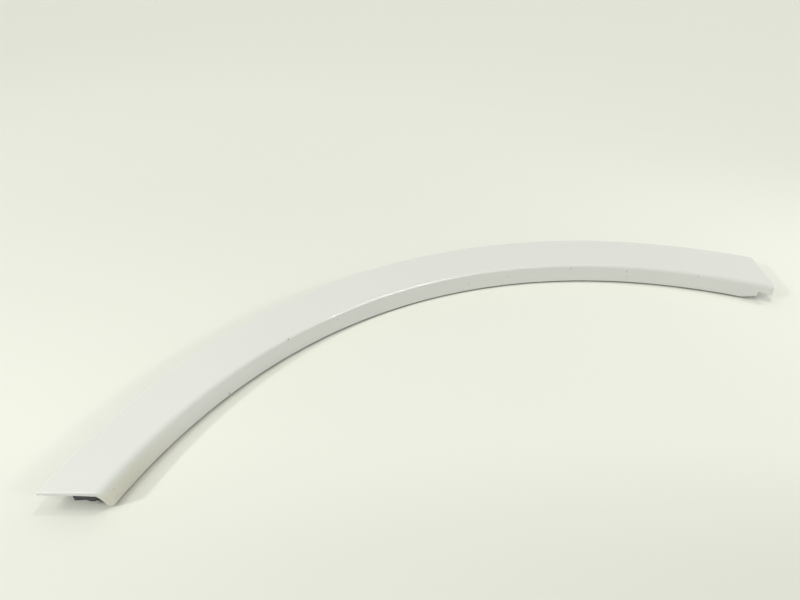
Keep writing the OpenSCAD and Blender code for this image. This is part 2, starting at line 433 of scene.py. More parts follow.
@dataclass
class MouldingSkin:
    """The L-shaped skin of the moulding, swept from the bumper cut to the door cut.

    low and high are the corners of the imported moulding's box.
    """

    low: Vector
    high: Vector
    plan: ArchPlan = field(default_factory=ArchPlan)
    section: TrimSection = field(default_factory=TrimSection)
    door_end: DoorEnd = field(default_factory=DoorEnd)
    bumper_rings_mm: tuple[float, ...] = (1.6, 1.9, 2.2, 2.5, 3.0, 4.0, 6.0, 8.5, 11.5, 15.0)
    cut_rings: int = 9
    arch_rings: int = 300
    settling_rounds: int = 5

    def __post_init__(self) -> None:
        """Work out the wheel's axis, the heights and the outline."""
        self.axis = self.plan.axis_from(self.low, self.high)
        self.face_height = self.high.z
        self.foot_height = self.high.z - self.section.lip_depth
        self.outline = self.section.outline()

    def _profile(self, angle: Array, crease: float, lift: float) -> tuple[Array, ...]:
        """Work out the section's points.

        Args:
            angle: Each point's angle about the wheel's axis.
            crease: The crease's radius at this ring.
            lift: How far the foot is lifted at this ring.

        Returns:
            Each point's distance out from the lip's wheel side, and its height.
        """
        line = self.outline
        width = self.plan.edge_at(angle) - self.plan.lip_radius
        across = line.offset + line.crease * crease + line.width * width
        top = self.face_height - line.crease_drop * crease
        foot = self.foot_height + lift
        return across, foot + (top - foot) * line.share_up - line.drop

    def _shape_cut(
        self, across: Array, height: Array, distance: float, bead: float
    ) -> tuple[Array, ...]:
        """Round the edges of a cut and thicken the wall behind it.

        Args:
            across: Each point's distance out from the lip's wheel side.
            height: Each point's height.
            distance: The ring's distance from the cut.
            bead: How far the wall's back is thickened.

        Returns:
            The points moved in or out.
        """
        radius = self.outline.cut_radius
        reach = np.maximum(radius - distance, 0.0)
        rounded = radius - np.sqrt(np.maximum(radius**2 - reach**2, 0.0))
        inset = rounded - self.outline.bead * bead
        step = np.stack([across - np.roll(across, 1), height - np.roll(height, 1)])
        step /= np.maximum(np.linalg.norm(step, axis=0), TINY)
        tangent = step + np.roll(step, -1, axis=1)
        tangent /= np.maximum(np.linalg.norm(tangent, axis=0), TINY)
        return across + tangent[1] * inset, height - tangent[0] * inset

    def _rule(self, to_bumper: float, to_door: float, share: float) -> AngleRule:
        """Make the rule for a ring a share of the way from a bumper line to a door line."""
        plan = self.plan
        return lambda radius, depth: (
            (1 - share) * plan.near_bumper(radius, depth, to_bumper)
            + share * plan.near_door(radius, to_door)
        )

    def _ring(
        self, rule: AngleRule, lift: float, distance: float | None, bead: float = 0.0
    ) -> Ring:
        """Make one ring.

        Args:
            rule: Gives each point's angle from its distance from the axis and its depth.
            lift: How far the foot is lifted.
            distance: Distance from the nearer cut, or None away from both.
            bead: How far the wall's back is thickened.

        Returns:
            The ring.
        """
        middle = float(rule(self.plan.lip_radius, 0.0))
        crease = self.section.crease_at(middle)
        angle = np.full(len(self.outline.offset), middle)
        for _ in range(self.settling_rounds):
            across, height = self._profile(angle, crease, lift)
            if distance is not None:
                across, height = self._shape_cut(across, height, distance, bead)
            depth = (self.face_height - height) / self.section.lip_depth
            angle = rule(self.plan.lip_radius + across, depth)
        coating = self.outline.coating
        bare = Coating.PAINTED.value - coating
        return Ring(angle, across, height, coating + bare * self.section.sprayed_at(distance))

    def rings(self) -> list[Ring]:
        """Lay rings from the bumper cut to the door cut.

        Returns:
            The rings in order.
        """
        quarter = bend(0.0, QUARTER_TURN, self.cut_rings)
        rounding = [self.section.painted_cut * share for _, share in quarter]
        near_bumper = rounding + [value * MM for value in self.bumper_rings_mm]
        near_door = self.door_end.distances() + rounding[::-1]
        first, last = near_bumper[-1], near_door[0]
        made = [
            self._ring(self._rule(d, last, 0.0), 0.0, d, self.section.bead_at(d))
            for d in near_bumper
        ]
        made += [
            self._ring(self._rule(first, last, float(share)), 0.0, None)
            for share in np.linspace(0.0, 1.0, self.arch_rings)[1:-1]
        ]
        made += [
            self._ring(self._rule(first, d, 1.0), self.door_end.foot_lift(d), d) for d in near_door
        ]
        return made

    def build(self) -> Solid:
        """Make the skin as a closed mesh with its coating written on the points.

        Returns:
            The skin.
        """
        skin = bmesh.new()
        coat = skin.verts.layers.float.new(PaintedPlastic.COATING)
        loops = []
        for ring in self.rings():
            radius = self.plan.lip_radius + ring.across
            x = self.axis.x + radius * np.cos(ring.angle)
            y = self.axis.y + radius * np.sin(ring.angle)
            loops.append([skin.verts.new(point) for point in zip(x, y, ring.height)])
            for vert, share in zip(loops[-1], ring.coating):
                vert[coat] = float(share)
        close_skin(skin, loops)
        bmesh.ops.recalc_face_normals(skin, faces=skin.faces)
        return skin


def close_skin(made: Solid, loops: list[list[bmesh.types.BMVert]]) -> None:
    """Join loops of points with faces and close both ends.

    Args:
        made: The mesh that the points are in.
        loops: The loops, each with as many points.
    """
    for one, two in zip(loops, loops[1:]):
        for i in range(len(one)):
            j = (i + 1) % len(one)
            made.faces.new((one[i], one[j], two[j], two[i]))
    made.faces.new(loops[0][::-1])
    made.faces.new(loops[-1])


@dataclass
class BackFeatures:
    """The clip towers, gussets and dowels on the moulding's raw back.

    Their roots lie one merge_part-th of the wall deep in it.
    """

    plan: ArchPlan
    axis: Vector
    back_height: float
    clip_centres: list[Vector]
    wall: float = 2.5 * MM
    merge_part: int = 5
    clip_inset: float = 14.5 * MM
    tower_height: float = 8.0 * MM
    tower_length: float = 18.0 * MM
    tower_reach: float = 9.0 * MM
    tower_wall: float = 1.6 * MM
    tower_floor: float = 1.6 * MM
    slot_width: float = 6.9 * MM
    slot_points: int = 13
    gussets_per_bay: int = 3
    gusset_margin: float = 0.25
    gusset_thickness: float = 1.3 * MM
    gusset_width: float = 11.0 * MM
    gusset_height: float = 9.0 * MM
    dowel_diameter: float = 6.0 * MM
    dowel_length: float = 5.2 * MM
    dowel_chamfer: float = 0.8 * MM
    dowel_fillet: float = 0.4 * MM
    dowel_fillet_bend: tuple[float, float, int] = (0.3, 1.3, 3)
    dowel_points: int = 48
    collar_diameter: float = 10.0 * MM
    collar_gap: float = 0.3 * MM
    panel_height: float = 6.1 * MM
    soft_edge: float = 0.25 * MM
    sharp_angle: float = math.radians(40)

    @property
    def merge(self) -> float:
        """How deep a feature's root lies in the wall."""
        return self.wall / self.merge_part

    @property
    def root_height(self) -> float:
        """Height of the features' roots in the face's wall."""
        return self.back_height + self.merge

    @staticmethod
    def _prism(outline: list[Span], bottom: float, top: float) -> Solid:
        """Raise an outline to a closed prism.

        Args:
            outline: The outline's corners, anticlockwise.
            bottom: The prism's lower height.
            top: The prism's upper height.

        Returns:
            The prism.
        """
        made = bmesh.new()
        loops = [[made.verts.new((x, y, z)) for x, y in outline] for z in (bottom, top)]
        close_skin(made, loops)
        return made

    def _soften(self, made: Solid) -> Solid:
        """Round a solid's sharp edges a little.

        Args:
            made: The solid.

        Returns:
            The same solid.
        """
        edges = [e for e in made.edges if e.calc_face_angle(0.0) > self.sharp_angle]
        how = {"offset_type": "OFFSET", "segments": 2, "profile": 0.5, "affect": "EDGES"}
        bmesh.ops.bevel(made, geom=edges, offset=self.soft_edge, **how)
        return made

    def _tower_parts(self, root: float) -> list[Solid]:
        """Make a tower's walls and floor about its clip.

        Args:
            root: How far in from the clip the tower reaches, into the lip's wall.

        Returns:
            The tower's solids.
        """
        bottom = self.back_height - self.tower_height
        half = self.tower_length / 2
        reach = self.tower_reach
        parts = []
        for low, high in ((-half, self.tower_wall - half), (half - self.tower_wall, half)):
            outline = [(-root, low), (reach, low), (reach, high), (-root, high)]
            parts.append(self._soften(self._prism(outline, bottom, self.root_height)))
        slot = self.slot_width / 2
        turns = np.linspace(math.pi, 0.0, self.slot_points)
        rounded = [(-slot * math.sin(a), slot * math.cos(a)) for a in turns]
        inside = half - self.tower_wall / 2
        outline = [(-root, -inside), (reach, -inside), (reach, -slot)]
        outline += rounded + [(reach, slot), (reach, inside), (-root, inside)]
        parts.append(self._prism(outline, bottom, bottom + self.tower_floor))
        return parts

    def _gusset(self) -> Solid:
        """Make a gusset that stands in the corner between lip and face.

        Returns:
            The gusset.
        """
        slope = self.gusset_width / self.gusset_height
        outline = [
            (-self.merge, self.root_height),
            (-self.merge, self.back_height - self.gusset_height - self.merge / slope),
            (self.gusset_width + slope * self.merge, self.root_height),
        ]
        made = self._prism(outline, -self.gusset_thickness / 2, self.gusset_thickness / 2)
        return self._soften(self._moved(made, Matrix.Rotation(QUARTER_TURN, 4, "X")))

    def _dowel(self) -> Solid:
        """Make a locating dowel on its collar.

        Returns:
            The dowel.
        """
        seat = self.panel_height + self.collar_gap
        tip = seat - self.dowel_length
        thin, wide = self.dowel_diameter / 2, self.collar_diameter / 2
        fillet = self.dowel_fillet
        profile = [(thin - self.dowel_chamfer, tip), (thin, tip + self.dowel_chamfer)]
        hollow = bend(*self.dowel_fillet_bend)
        profile += [(thin + fillet * c, seat - fillet * s) for s, c in hollow]
        profile += [(wide - fillet, seat), (wide, seat + fillet), (wide, self.root_height)]
        made = bmesh.new()
        turns = np.linspace(0.0, 2 * math.pi, self.dowel_points, endpoint=False)
        loops = [
            [made.verts.new((r * math.cos(a), r * math.sin(a), z)) for a in turns]
            for r, z in profile
        ]
        close_skin(made, loops)
        return made

    @staticmethod
    def _moved(part: Solid, place: Matrix) -> Solid:
        """Move a part to its place."""
        bmesh.ops.transform(part, matrix=place, verts=part.verts)
        return part

    def _out_at(self, angle: float, inset: float) -> Matrix:
        """Return the place at an angle about the wheel's axis and a distance out from the lip."""
        out = Matrix.Translation((self.plan.lip_radius + inset, 0.0, 0.0))
        return Matrix.Translation(self.axis) @ Matrix.Rotation(angle, 4, "Z") @ out

    def _trim_root(self, part: Solid) -> Solid:
        """Keep a tower's root inside the lip's wall.

        Args:
            part: A part of the tower.

        Returns:
            The same part.
        """
        inner = self.plan.lip_radius + self.wall - self.merge
        for vert in part.verts:
            out = Vector((vert.co.x - self.axis.x, vert.co.y - self.axis.y))
            if out.length < inner:
                out = out.normalized() * inner
                vert.co.x = self.axis.x + out.x
                vert.co.y = self.axis.y + out.y
        return part

    def build(self) -> list[Solid]:
        """Make every feature in its place.

        Returns:
            The features' closed solids.
        """
        made = []
        angles = [math.atan2(c.y - self.axis.y, c.x - self.axis.x) for c in self.clip_centres]
        turns = [math.pi, *angles[1:-1], QUARTER_TURN - self.plan.door_lean]
        for centre, angle, turn in zip(self.clip_centres, angles, turns):
            lean = abs(math.sin(turn - angle))
            root = self.clip_inset - self.wall / 2 + (self.tower_length / 2) * lean
            place = Matrix.Translation((centre.x, centre.y, 0.0)) @ Matrix.Rotation(turn, 4, "Z")
            made += [self._trim_root(self._moved(p, place)) for p in self._tower_parts(root)]
        bays = len(angles) - 1
        bay = (angles[-1] - angles[0]) / bays
        count = self.gussets_per_bay
        for i in range(bays):
            for k in range(1, count + 1):
                share = (k - self.gusset_margin) / (count + 2 * self.gusset_margin)
                place = self._out_at(angles[i] + bay * share, self.wall)
                made.append(self._moved(self._gusset(), place))
        for i in (0, bays - 1):
            place = self._out_at(angles[i] + bay / 2, self.clip_inset)
            made.append(self._moved(self._dowel(), place))
        return made


class Graph:
    """A short way to write shader nodes and links."""

    def __init__(self, tree: Tree) -> None:
        """Take over a node tree and empty it."""
        self.tree = tree
        tree.nodes.clear()

    def add(self, kind: str, **settings: object) -> Node:
        """Add a node.

        Args:
            kind: The node's type.
            **settings: Attributes to set on it.

        Returns:
            The node.
        """
        node = self.tree.nodes.new(kind)
        for name, value in settings.items():
            setattr(node, name, value)
        return node

    def give(self, socket: Socket, value: object) -> None:
        """Link an input to another node's output, or set it.

        Args:
            socket: The input.
            value: The output to link, or the value to set.
        """
        if isinstance(value, Socket):
            self.tree.links.new(value, socket)
        else:
            socket.default_value = value

    def feed(self, node: Node, **inputs: object) -> Node:
        """Set or link a node's inputs by name, with underscores for spaces.

        Args:
            node: The node to feed.
            **inputs: A socket to link, or a value to set, for each input.

        Returns:
            The node.
        """
        for name, value in inputs.items():
            self.give(node.inputs[name.replace("_", " ")], value)
        return node

    def math(self, operation: str, *values: object, kind: str = "ShaderNodeMath") -> Socket:
        """Add a Math or Vector Math node.

        Args:
            operation: The operation's name.
            *values: Sockets or values, in order.
            kind: The node's type.

        Returns:
            The result's socket.
        """
        node = self.add(kind, operation=operation)
        for socket, value in zip(node.inputs, values):
            self.give(socket, value)
        return node.outputs["Value"]

    def without(self, share: object) -> Socket:
        """Return what a share leaves of 1."""
        return self.math("SUBTRACT", 1.0, share)

    def mix(self, share: object, one: object, two: object, kind: str = "RGBA") -> Socket:
        """Mix two colours or two numbers.

        Args:
            share: How much of the second is taken.
            one: The first colour or number.
            two: The second colour or number.
            kind: RGBA for colours or FLOAT for numbers.

        Returns:
            The result's socket.
        """
        node = self.add("ShaderNodeMix", data_type=kind)
        first, result = {"RGBA": (6, 2), "FLOAT": (2, 0)}[kind]
        for index, value in ((0, share), (first, one), (first + 1, two)):
            self.give(node.inputs[index], value)
        return node.outputs[result]

    def noise(self, where: Socket, scale: object, detail: float) -> Socket:
        """Add a noise texture and return its factor."""
        node = self.add("ShaderNodeTexNoise")
        return self.feed(node, Vector=where, Scale=scale, Detail=detail).outputs["Fac"]

    def cells(self, kind: str, where: object, scale: object) -> Socket:
        """Add a cell texture and return the distance from each cell's middle."""
        node = self.add("ShaderNodeTexVoronoi", feature=kind)
        return self.feed(node, Vector=where, Scale=scale).outputs["Distance"]

    def ramp(self, value: object, low: object, high: object) -> Socket:
        """Rise smoothly from 0 at low to 1 at high."""
        node = self.add("ShaderNodeMapRange", interpolation_type="SMOOTHSTEP")
        return self.feed(node, Value=value, From_Min=low, From_Max=high).outputs["Result"]

    def distance(self, one: object, two: object) -> Socket:
        """Return the distance between two places."""
        return self.math("DISTANCE", one, two, kind="ShaderNodeVectorMath")

    def along(self, where: Socket, axis: str) -> Socket:
        """Return a place's X, Y or Z."""
        return self.feed(self.add("ShaderNodeSeparateXYZ"), Vector=where).outputs[axis]

    def bump(self, height: object, strength: float, depth: float) -> Socket:
        """Return the normal that a height map makes."""
        node = self.add("ShaderNodeBump")
        return self.feed(node, Height=height, Strength=strength, Distance=depth).outputs["Normal"]

    def group(self, group: Tree, **inputs: object) -> Node:
        """Place a node group and feed it."""
        return self.feed(self.add("ShaderNodeGroup", node_tree=group), **inputs)

    def shade(self, **inputs: object) -> None:
        """Add the material's shader, feed it and link it to the output."""
        shader = self.feed(self.add("ShaderNodeBsdfPrincipled"), **inputs)
        self.feed(self.add("ShaderNodeOutputMaterial"), Surface=shader.outputs["BSDF"])


def new_material(name: str) -> tuple[Material, Graph, Socket]:
    """Start a material.

    Args:
        name: The material's name.

    Returns:
        The material, its graph and the place on the piece.
    """
    material = bpy.data.materials.new(name)
    material.use_nodes = True
    graph = Graph(material.node_tree)
    return material, graph, graph.add("ShaderNodeTexCoord").outputs["Object"]


class Effects:
    """The shader groups that several finishes share, each built once."""

    BROAD_WAVE = 0.16
    BROAD_SHARE = 0.6
    TONE_NOISE = (60.0, 4.0)
    RAGGED_NOISE = (1500.0, 3.0)
    RAGGED_SHARE = 1.6
    SPECK_NOISE = (90.0, 1.0)
    SPECK_LIMIT = 0.6

    def __init__(self) -> None:
        """Build the groups."""
        self.peel = self._peel()
        self.grain = self._grain()
        self.mark = self._mark()
        self.dust = self._dust()

    @staticmethod
    def _open(
        name: str, inputs: dict[str, float | None], outputs: list[str]
    ) -> tuple[Graph, bpy.types.NodeOutputs, Node]:
        """Start a group, which always takes a place.

        Args:
            name: The group's name.
            inputs: The default of each further input, or None for a place.
            outputs: Names of the outputs, all numbers.

        Returns:
            The graph, what its input node puts out, and its output node.
        """
        tree = bpy.data.node_groups.new(name, "ShaderNodeTree")
        for label, default in {"Place": None, **inputs}.items():
            kind = "NodeSocketVector" if default is None else "NodeSocketFloat"
            socket = tree.interface.new_socket(label, in_out="INPUT", socket_type=kind)
            if default is not None:
                socket.default_value = default
        for label in outputs:
            tree.interface.new_socket(label, in_out="OUTPUT", socket_type="NodeSocketFloat")
        graph = Graph(tree)
        return graph, graph.add("NodeGroupInput").outputs, graph.add("NodeGroupOutput")

    def _peel(self) -> Tree:
        """Build the faint waviness of sprayed paint.

        Returns:
            The group.
        """
        graph, given, sink = self._open("paint_peel", {"Scale": 900.0}, ["Height"])
        fine = graph.noise(given["Place"], given["Scale"], 1.0)
        wide = graph.math("MULTIPLY", given["Scale"], self.BROAD_WAVE)
        broad = graph.noise(given["Place"], wide, 2.0)
        rest = graph.math("MULTIPLY", fine, 1.0 - self.BROAD_SHARE)
        graph.feed(sink, Height=graph.math("MULTIPLY_ADD", broad, self.BROAD_SHARE, rest))
        return graph.tree

    def _grain(self) -> Tree:
        """Build the grain of bare moulded plastic.

        Returns:
            The group.
        """
        graph, given, sink = self._open("moulded_grain", {"Scale": 1400.0}, ["Height", "Tone"])
        cells = graph.cells("SMOOTH_F1", given["Place"], given["Scale"])
        graph.feed(sink, Height=cells, Tone=graph.noise(given["Place"], *self.TONE_NOISE))
        return graph.tree

    def _mark(self) -> Tree:
        """Build a ragged spot at a place.

        Returns:
            The group.
        """
        sizes = {"Centre": None, "Radius": 0.6 * MM, "Softness": 0.8}
        graph, given, sink = self._open("ragged_spot", sizes, ["Mask"])
        gap = graph.distance(given["Place"], given["Centre"])
        ragged = graph.math("SUBTRACT", graph.noise(given["Place"], *self.RAGGED_NOISE), 0.5)
        shift = graph.math("MULTIPLY", ragged, given["Radius"])
        reach = graph.math("MULTIPLY_ADD", shift, self.RAGGED_SHARE, gap)
        inner = graph.math("MULTIPLY", given["Radius"], graph.without(given["Softness"]))
        graph.feed(sink, Mask=graph.without(graph.ramp(reach, inner, given["Radius"])))
        return graph.tree

    def _dust(self) -> Tree:
        """Build sparse fine specks.

        Returns:
            The group.
        """
        sizes = {"Scale": 260.0, "Size": 0.1}
        graph, given, sink = self._open("fine_specks", sizes, ["Mask"])
        spread = graph.noise(given["Place"], *self.SPECK_NOISE)
        picked = graph.math("GREATER_THAN", spread, self.SPECK_LIMIT)
        cells = graph.cells("F1", given["Place"], given["Scale"])
        spot = graph.math("LESS_THAN", cells, given["Size"])
        graph.feed(sink, Mask=graph.math("MULTIPLY", picked, spot))
        return graph.tree


@dataclass(frozen=True)
class LipMark:
    """A mark on the lip, by its angle in degrees, and its height and radius in mm."""

    angle: float
    height: float
    radius: float
    strength: float


CHIPS = tuple(
    LipMark(*row)
    for row in (
        (145.6, 2.2, 1.3, 0.55),
        (136.2, 17.4, 1.3, 0.8),
        (128.6, 12.8, 1.2, 0.4),
        (107.7, 7.8, 2.0, 0.14),
        (101.6, 10.1, 2.0, 0.18),
        (92.0, 14.2, 1.7, 0.26),
        (83.7, 12.7, 1.7, 0.26),
        (83.5, 6.7, 1.5, 0.24),
        (73.7, 15.0, 1.7, 0.16),
    )
)
GRIME = tuple(
    LipMark(*row)
    for row in (
        (161.0, 10.7, 0.9, 0.22),
        (161.7, 11.5, 1.3, 0.26),
        (161.6, 4.8, 1.2, 0.45),
        (161.9, 4.3, 0.8, 0.22),
        (159.6, 6.9, 1.2, 0.28),
        (159.1, 5.2, 0.8, 0.2),
        (158.7, 5.1, 1.0, 0.24),
        (159.9, 3.8, 0.9, 0.22),
    )
)


@dataclass(frozen=True)
class LipPlaces:
    """Where the lip's wheel side lies."""

    axis: Vector
    radius: float
    foot: float

    def at(self, degrees: float, height: float) -> Place:
        """Return the place at an angle about the wheel's axis and a height above the foot."""
        out = Vector((math.cos(math.radians(degrees)), math.sin(math.radians(degrees))))
        return (
            self.axis.x + self.radius * out.x,
            self.axis.y + self.radius * out.y,
            self.foot + height,
        )


@dataclass(frozen=True)
class PaintedPlastic:
    """White gloss paint over black plastic, which shows where the paint gives out.

    A noise is given by its scale and its detail, and a limit by where it starts and ends.
    """

    COATING = "coating"
    lip: LipPlaces
    effects: Effects
    white: Colour = (0.752, 0.769, 0.712, 1.0)
    white_slow: Colour = (0.768, 0.783, 0.726, 1.0)
    tone_noise: Span = (9.0, 3.0)
    tone_limits: Span = (0.3, 0.7)
    black: Colour = (0.024, 0.024, 0.025, 1.0)
    black_lift: float = 1.7
    ragged_noise: Span = (420.0, 4.0)
    ragged_share: float = 0.5
    paint_limits: Span = (0.35, 0.62)
    chip: Colour = (0.10, 0.10, 0.095, 1.0)
    chip_roughness: float = 0.7
    grime: Colour = (0.30, 0.22, 0.14, 1.0)
    grime_roughness: float = 0.6
    speck_scale: float = 300.0
    speck_size: float = 0.08
    speck_share: float = 0.12
    # painted shade and bounce: a warm dark tint on the lip near the bumper end, darker towards the
    # foot
    film: Colour = (0.52, 0.45, 0.18, 1.0)
    film_share: float = 0.3
    film_end: float = 163.0
    film_reach: float = 95.0 * MM
    film_top: Span = (11.0 * MM, 18.0 * MM)
    paint_roughness: float = 0.16
    raw_roughness: float = 0.5
    coat: float = 0.6
    coat_roughness: float = 0.05
    ior: float = 1.5
    bump: float = 0.06
    bump_depth: float = 0.1 * MM

    def make(self) -> Material:
        """Make the material.

        Returns:
            The material.
        """
        material, graph, place = new_material("painted_plastic")
        coating = graph.add("ShaderNodeAttribute", attribute_name=self.COATING).outputs["Fac"]
        noise = graph.noise(place, *self.ragged_noise)
        ragged = graph.math("MULTIPLY_ADD", noise, self.ragged_share, -self.ragged_share / 2)
        painted = graph.ramp(graph.math("ADD", coating, ragged), *self.paint_limits)
        grime = self._marks(graph, place, GRIME)
        chips = self._marks(graph, place, CHIPS)
        specks = graph.group(
            self.effects.dust, Place=place, Scale=self.speck_scale, Size=self.speck_size
        ).outputs["Mask"]
        specks = graph.math("MULTIPLY", specks, self.speck_share)
        colour = graph.ramp(graph.noise(place, *self.tone_noise), *self.tone_limits)
        colour = graph.mix(colour, self.white, self.white_slow)
        # painted shade and warm bounce light on the lip near the bumper end
        colour = graph.mix(self._film(graph, place), colour, self.film)
        colour = graph.mix(grime, colour, self.grime)
        colour = graph.mix(specks, colour, self.grime)
        colour = graph.mix(chips, colour, self.chip)
        grain = graph.group(self.effects.grain, Place=place).outputs
        lifted = tuple(value * self.black_lift for value in self.black[:3]) + (1.0,)
        colour = graph.mix(painted, graph.mix(grain["Tone"], self.black, lifted), colour)
        rough = graph.mix(grime, self.paint_roughness, self.grime_roughness, "FLOAT")
        rough = graph.mix(chips, rough, self.chip_roughness, "FLOAT")
        rough = graph.mix(painted, self.raw_roughness, rough, "FLOAT")
        peel = graph.group(self.effects.peel, Place=place).outputs["Height"]
        height = graph.mix(painted, grain["Height"], peel, "FLOAT")
        clear = graph.math("MULTIPLY", painted, graph.without(chips))
        graph.shade(
            Base_Color=colour,
            Roughness=rough,
            Normal=graph.bump(height, self.bump, self.bump_depth),
            Coat_Weight=graph.math("MULTIPLY", clear, self.coat),
            Coat_Roughness=self.coat_roughness,
            IOR=self.ior,
        )
        return material

    def _film(self, graph: Graph, place: Socket) -> Socket:
        """Make the mask of the painted shade on the lip, tinted like light bounced off the warm
        surface, strongest at the bumper end's foot.

        Args:
            graph: The material's graph.
            place: The place on the piece.

        Returns:
            The mask's socket.
        """
        gap = graph.distance(place, self.lip.at(self.film_end, 0.0))
        near = graph.without(graph.ramp(gap, 0.0, self.film_reach))
        low, high = (self.lip.foot + height for height in self.film_top)
        below = graph.without(graph.ramp(graph.along(place, "Z"), low, high))
        return graph.math("MULTIPLY", graph.math("MULTIPLY", near, below), self.film_share)

    def _marks(self, graph: Graph, place: Socket, marks: tuple[LipMark, ...]) -> Socket:
        """Add up the masks of a set of marks on the lip.

        Args:
            graph: The material's graph.
            place: The place on the piece.
            marks: The marks.

        Returns:
            The mask's socket.
        """
        total: Socket | None = None
        for mark in marks:
            centre = self.lip.at(mark.angle, mark.height * MM)
            spot = graph.group(
                self.effects.mark, Place=place, Centre=centre, Radius=mark.radius * MM
            )
            mask = graph.math("MULTIPLY", spot.outputs["Mask"], mark.strength)
            total = mask if total is None else graph.math("MAXIMUM", total, mask)
        return total


@dataclass(frozen=True)
class BareFinish:
    """A dull finish with a grain, for the clips and the sealing rings."""

    name: str
    dark: Colour
    light: Colour
    roughness: Span
    grain_scale: float
    bump: float
    bump_depth: float = 0.15 * MM
    dust: Colour = (0.35, 0.32, 0.28, 1.0)
    dust_share: float = 0.3
    speck_scale: float = 900.0
    speck_size: float = 0.12

    def make(self, effects: Effects) -> Material:
        """Make the material.

        Args:
            effects: The shared shader groups.

        Returns:
            The material.
        """
        material, graph, place = new_material(self.name)
        grain = graph.group(effects.grain, Place=place, Scale=self.grain_scale).outputs
        specks = graph.group(
            effects.dust, Place=place, Scale=self.speck_scale, Size=self.speck_size
        ).outputs["Mask"]
        colour = graph.mix(grain["Tone"], self.dark, self.light)
        dusty = graph.math("MULTIPLY", specks, self.dust_share)
        graph.shade(
            Base_Color=graph.mix(dusty, colour, self.dust),
            Roughness=graph.mix(grain["Tone"], *self.roughness, "FLOAT"),
            Normal=graph.bump(grain["Height"], self.bump, self.bump_depth),
        )
        return material


CLIP_FINISH = BareFinish(
    name="clip_plastic",
    dark=(0.045, 0.045, 0.048, 1.0),
    light=(0.075, 0.075, 0.078, 1.0),
    roughness=(0.38, 0.52),
    grain_scale=1600.0,
    bump=0.12,
)
SEAL_FINISH = BareFinish(
    name="seal_rubber",
    dark=(0.016, 0.016, 0.016, 1.0),
    light=(0.035, 0.034, 0.033, 1.0),
    roughness=(0.75, 0.92),
    grain_scale=2600.0,
    bump=0.5,
)


@dataclass(frozen=True)
class PaleSurface:
    """The pale surface: its colour near the trim, with painted light far off and a painted shadow in
    front, and for what it throws.
    """

    colour: Colour = (0.845, 0.860, 0.760, 1.0)
    # painted light: brighter far from the trim, standing in for the light the near lamps lose with
    # distance
    far: Colour = (0.915, 0.93, 0.83, 1.0)
    # painted shadow: darker in front of the trim, where a soft shadow falls
    front: Colour = (0.785, 0.80, 0.708, 1.0)
    bounce: Colour = (0.83, 0.83, 0.79, 1.0)
    middle: Place = (-0.35, 0.0, 0.0)
    far_limits: Span = (0.1, 0.8)
    front_limits: Span = (0.09, 0.22)
    roughness: float = 0.7
    specular: float = 0.1

    def make(self) -> Material:
        """Make the material.

        Returns:
            The material.
        """
        material, graph, place = new_material("pale_surface")
        # painted light: the colour brightens away from the trim's middle
        far = graph.ramp(graph.distance(place, self.middle), *self.far_limits)
        forward = graph.math("MULTIPLY", graph.along(place, "Y"), -1.0)
        colour = graph.mix(far, self.colour, self.far)
        # painted shadow: the colour darkens towards the front
        colour = graph.mix(graph.ramp(forward, *self.front_limits), colour, self.front)
        seen = graph.add("ShaderNodeLightPath").outputs["Is Camera Ray"]
        graph.shade(
            Base_Color=graph.mix(seen, self.bounce, colour),
            Roughness=self.roughness,
            Specular_IOR_Level=self.specular,
        )
        return material


